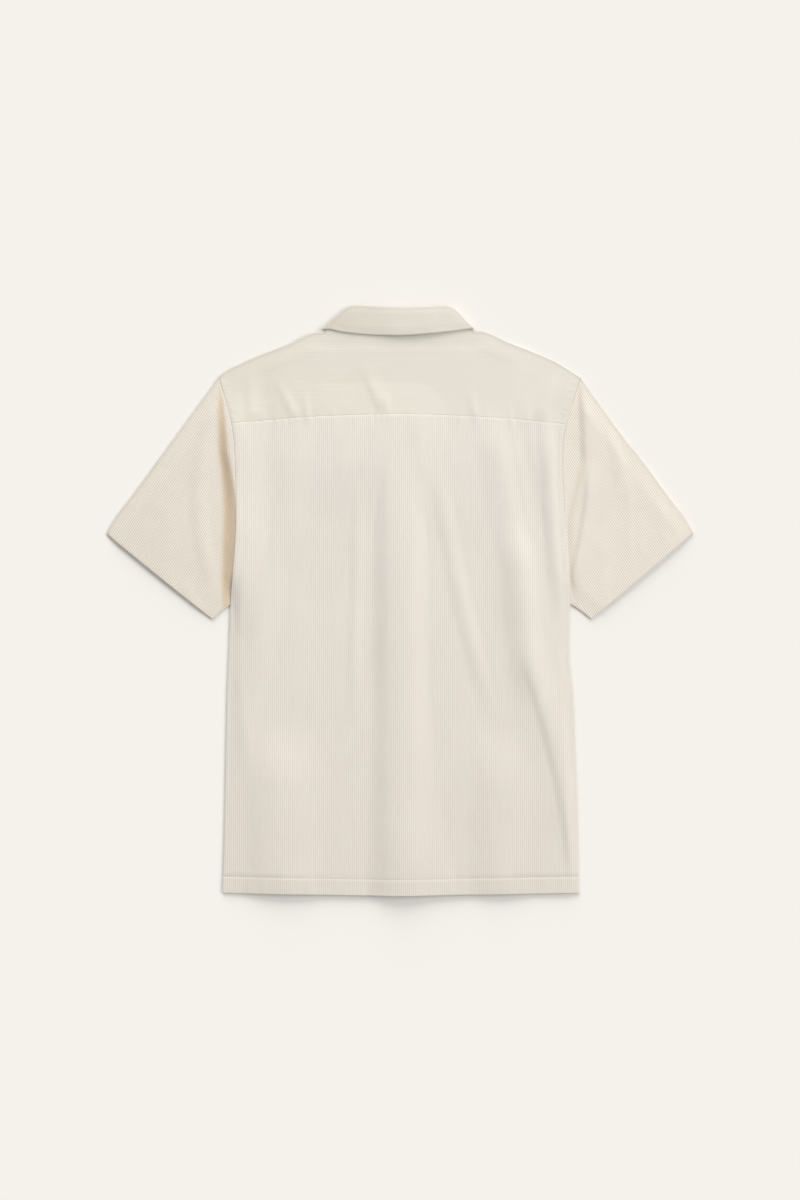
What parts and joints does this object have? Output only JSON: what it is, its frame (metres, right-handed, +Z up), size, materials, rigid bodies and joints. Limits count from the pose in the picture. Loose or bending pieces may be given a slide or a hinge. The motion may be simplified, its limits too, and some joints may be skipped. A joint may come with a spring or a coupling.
{
  "type": "apache collar shirt",
  "caption": "Short-sleeved button-front shirt of ribbed jersey with an open apache collar, laid flat and face down.",
  "frame": {"origin": "middle of the flat underside, on the surface that the shirt lies on", "axes": "+Z up from the surface, +Y from the hem to the collar, +X to the wearer's right, since the shirt lies face down"},
  "size_m": [0.7507, 0.7549, 0.0091],
  "materials": {
    "ribbed_jersey": "matte cream jersey with fine raised ribs",
    "collar_jersey": "matte cream jersey, ribs along the collar",
    "button": "pale satin four-hole shirt button"
  },
  "bodies": {
    "root": {"back": "ribbed_jersey", "yoke": "ribbed_jersey", "front_left": "ribbed_jersey", "front_right": "ribbed_jersey", "sleeve_left": "ribbed_jersey", "sleeve_right": "ribbed_jersey", "collar": "collar_jersey", "button_1": "button", "button_2": "button", "button_3": "button", "button_4": "button", "button_5": "button", "button_6": "button"}
  },
  "joints": []
}
